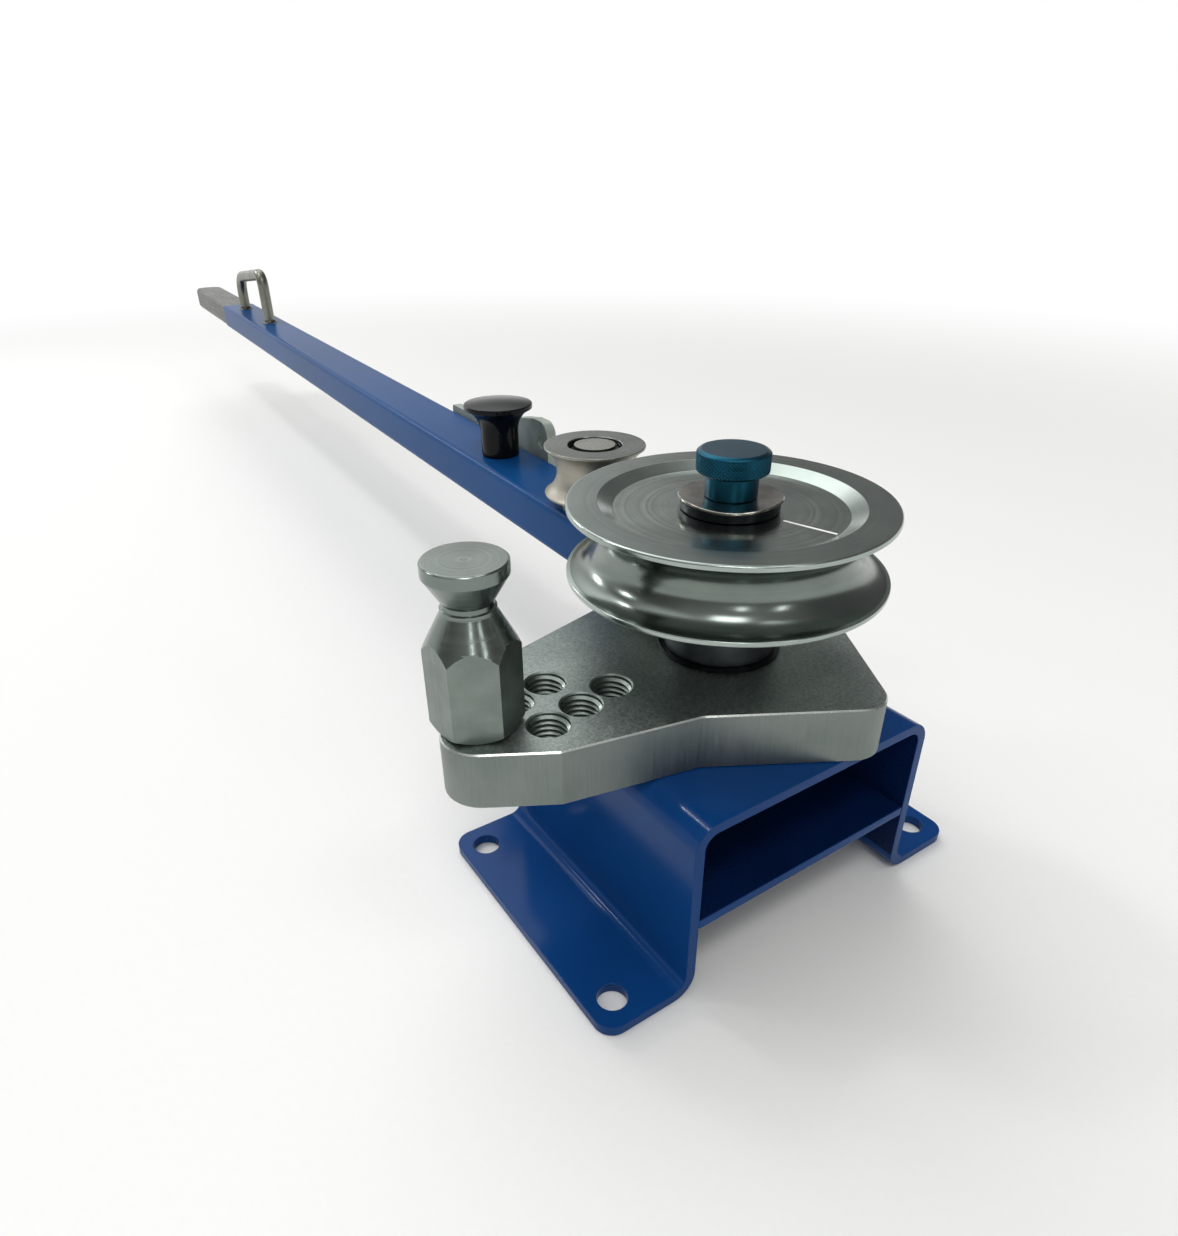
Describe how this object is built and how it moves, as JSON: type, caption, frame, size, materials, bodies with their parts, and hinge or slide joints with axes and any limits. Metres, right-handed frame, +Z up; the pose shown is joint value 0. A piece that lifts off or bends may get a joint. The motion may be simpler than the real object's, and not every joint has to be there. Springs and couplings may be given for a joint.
{
  "type": "tube bender",
  "caption": "Bench-mounted lever tube bender: grooved form wheel, follower roller on a long arm, screw-in stop post, folded steel base.",
  "frame": {"origin": "centre of the base's four bolt holes, on the bench", "axes": "+X across the base's two webs, away from the stop post's tongue; +Y along the base, about the way the arm points at rest; +Z up, along the pivot"},
  "size_m": [0.194, 1.046, 0.1647],
  "materials": {
    "blue_paint": "glossy royal-blue powder coat",
    "zinc": "zinc plated, satin, slightly green-grey",
    "turned_steel": "zinc plated over lathe marks",
    "bright_bar": "bright drawn bar",
    "bare_steel": "bare mill-finish steel",
    "black_oxide": "black oxide",
    "bronze": "plain bronze bearing metal",
    "spring_steel": "tempered spring steel, brown-grey",
    "black_plastic": "satin moulded black",
    "teal_anodised": "dark teal anodised, knurled"
  },
  "bodies": {
    "base": {"base_bracket": "blue_paint", "base_shelf": "blue_paint", "stop_plate": "zinc", "plate_washers": "zinc", "plate_screws": "black_oxide", "pivot_shaft": "bright_bar", "foot_washer": "zinc", "foot_nut": "zinc", "low_thrust_washer": "zinc", "thrust_collar": "black_oxide", "stop_post": "turned_steel"},
    "arm": {"arm_hub": "zinc", "hub_bush": "bronze", "top_thrust_washer": "bronze", "arm_bar": "zinc", "arm_tube": "blue_paint", "arm_tang": "bare_steel", "pull_handle": "bright_bar", "side_cheek": "zinc", "cheek_screws": "black_oxide", "roller_pin": "bright_bar", "roller_spacer": "zinc", "retaining_ring": "black_oxide", "plunger_body": "black_oxide", "plunger_cap": "black_oxide", "plunger_spring": "spring_steel"},
    "roller": {"follower_roller": "turned_steel", "roller_bush": "bronze"},
    "plunger": {"plunger_knob": "black_plastic", "plunger_pin": "bright_bar"},
    "die": {"form_wheel": "turned_steel", "wheel_bush": "bronze"},
    "clamp_lift": {"clamp_washer": "spring_steel"},
    "clamp_turn": {"clamp_knob": "teal_anodised", "clamp_screw": "bright_bar"}
  },
  "joints": [
    {"name": "arm_swing", "type": "hinge", "parent": "base", "child": "arm", "pos_m": [0.003, 0.002, 0.107], "axis": [0, 0, 1], "range_deg": [-245, 65]},
    {"name": "roller_spin", "type": "hinge", "parent": "arm", "child": "roller", "pos_m": [0.00737, 0.08829, 0.13485], "axis": [0, 0, 1], "continuous": true},
    {"name": "plunger_pull", "type": "slide", "parent": "arm", "child": "plunger", "axis": [0, 0, 1], "range_m": [0, 0.0065], "stiffness_N_per_m": 1500, "springref_m": -0.004, "deforming": ["plunger_spring"]},
    {"name": "wheel_spin", "type": "hinge", "parent": "base", "child": "die", "pos_m": [0.003, 0.002, 0.13475], "axis": [0, 0, 1], "continuous": true},
    {"name": "clamp_rise", "type": "slide", "parent": "base", "child": "clamp_lift", "axis": [0, 0, 1], "range_m": [0, 0.012]},
    {"name": "knob_turn", "type": "hinge", "parent": "clamp_lift", "child": "clamp_turn", "pos_m": [0.003, 0.002, 0.156], "axis": [0, 0, 1], "range_deg": [0, 2881]}
  ],
  "couplings": [
    {"joint": "knob_turn", "follows": "clamp_rise", "rad_per_m": 4188.8}
  ]
}
